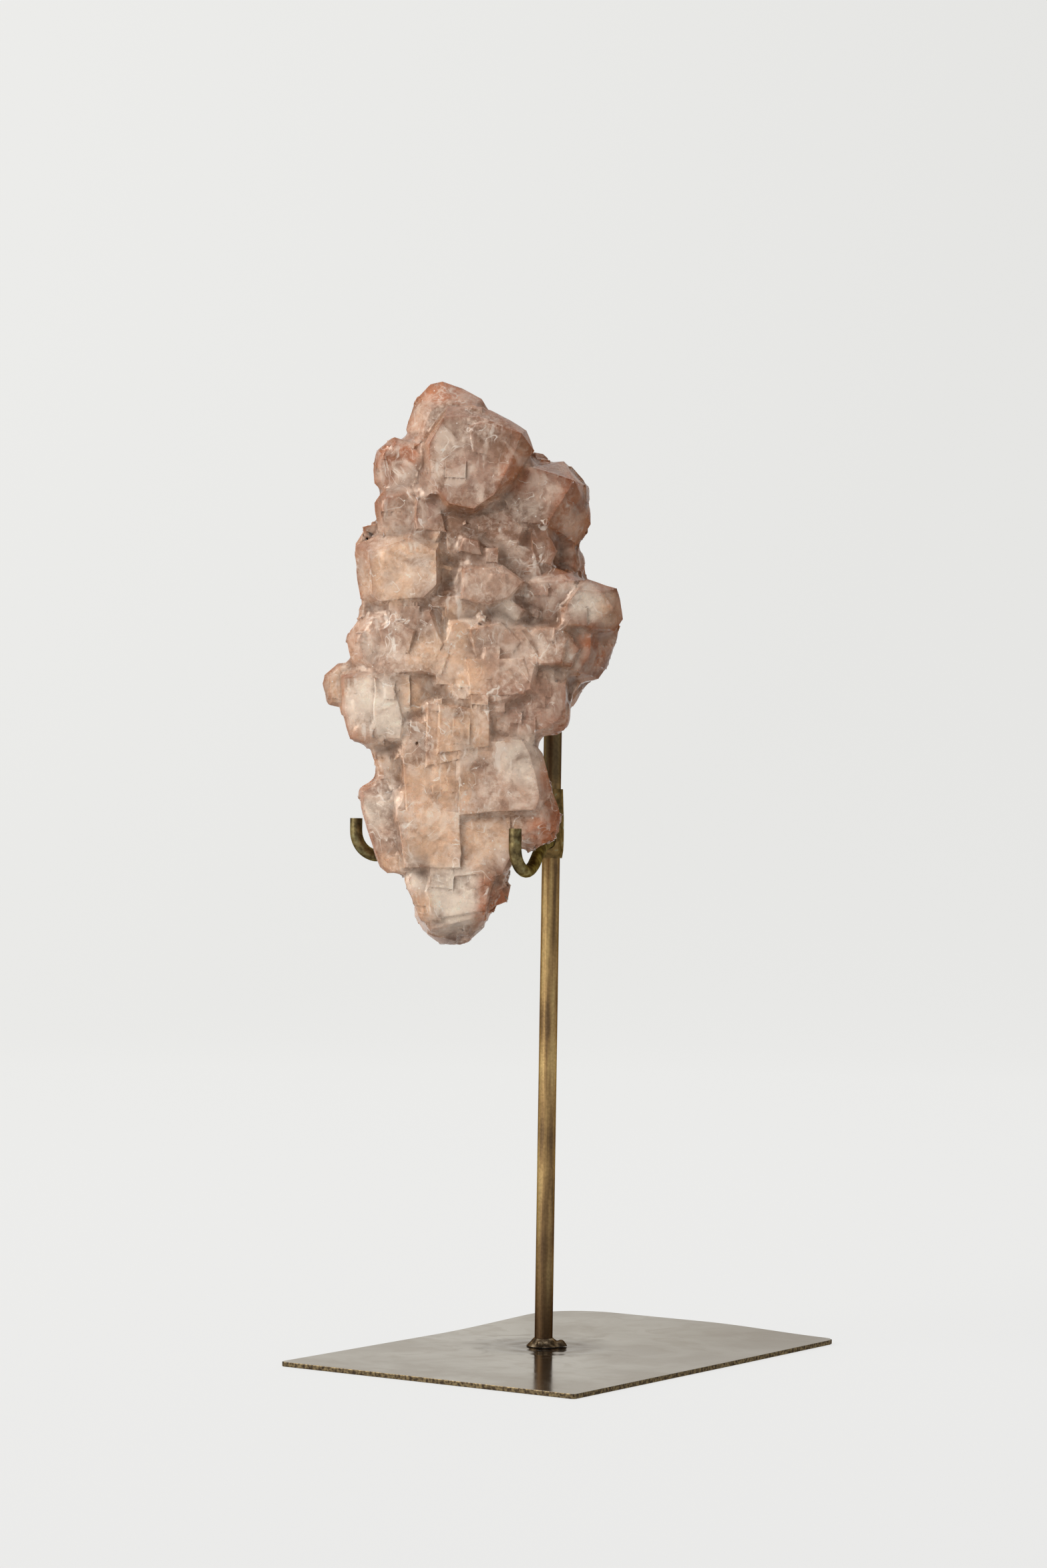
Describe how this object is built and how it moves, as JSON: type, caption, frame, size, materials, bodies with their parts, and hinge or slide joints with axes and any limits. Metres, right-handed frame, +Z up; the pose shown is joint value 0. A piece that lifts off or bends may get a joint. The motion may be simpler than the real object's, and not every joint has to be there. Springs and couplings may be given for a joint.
{
  "type": "calcite specimen",
  "caption": "Cluster of blocky translucent calcite crystals resting in the wire cradle of a brass rod stand with a flat rectangular foot plate.",
  "frame": {"origin": "centre of the base plate's underside, on the surface that the stand stands on", "axes": "+X right along the plate's front edge, +Y to the back, +Z up along the post"},
  "size_m": [0.112, 0.1756, 0.3165],
  "materials": {
    "specimen": "translucent, satin to vitreous cleavage faces",
    "base_plate": "aged satin, brown-grey",
    "post": "aged, olive brown streaks",
    "foot_braze": "dull, heat darkened",
    "arm_left": "aged, mottled green-brown",
    "arm_right": "aged, mottled green-brown",
    "cradle_braze": "dull, pale green verdigris"
  },
  "bodies": {
    "root": {"specimen": "specimen", "base_plate": "base_plate", "post": "post", "foot_braze": "foot_braze", "arm_left": "arm_left", "arm_right": "arm_right", "cradle_braze": "cradle_braze"}
  },
  "joints": []
}
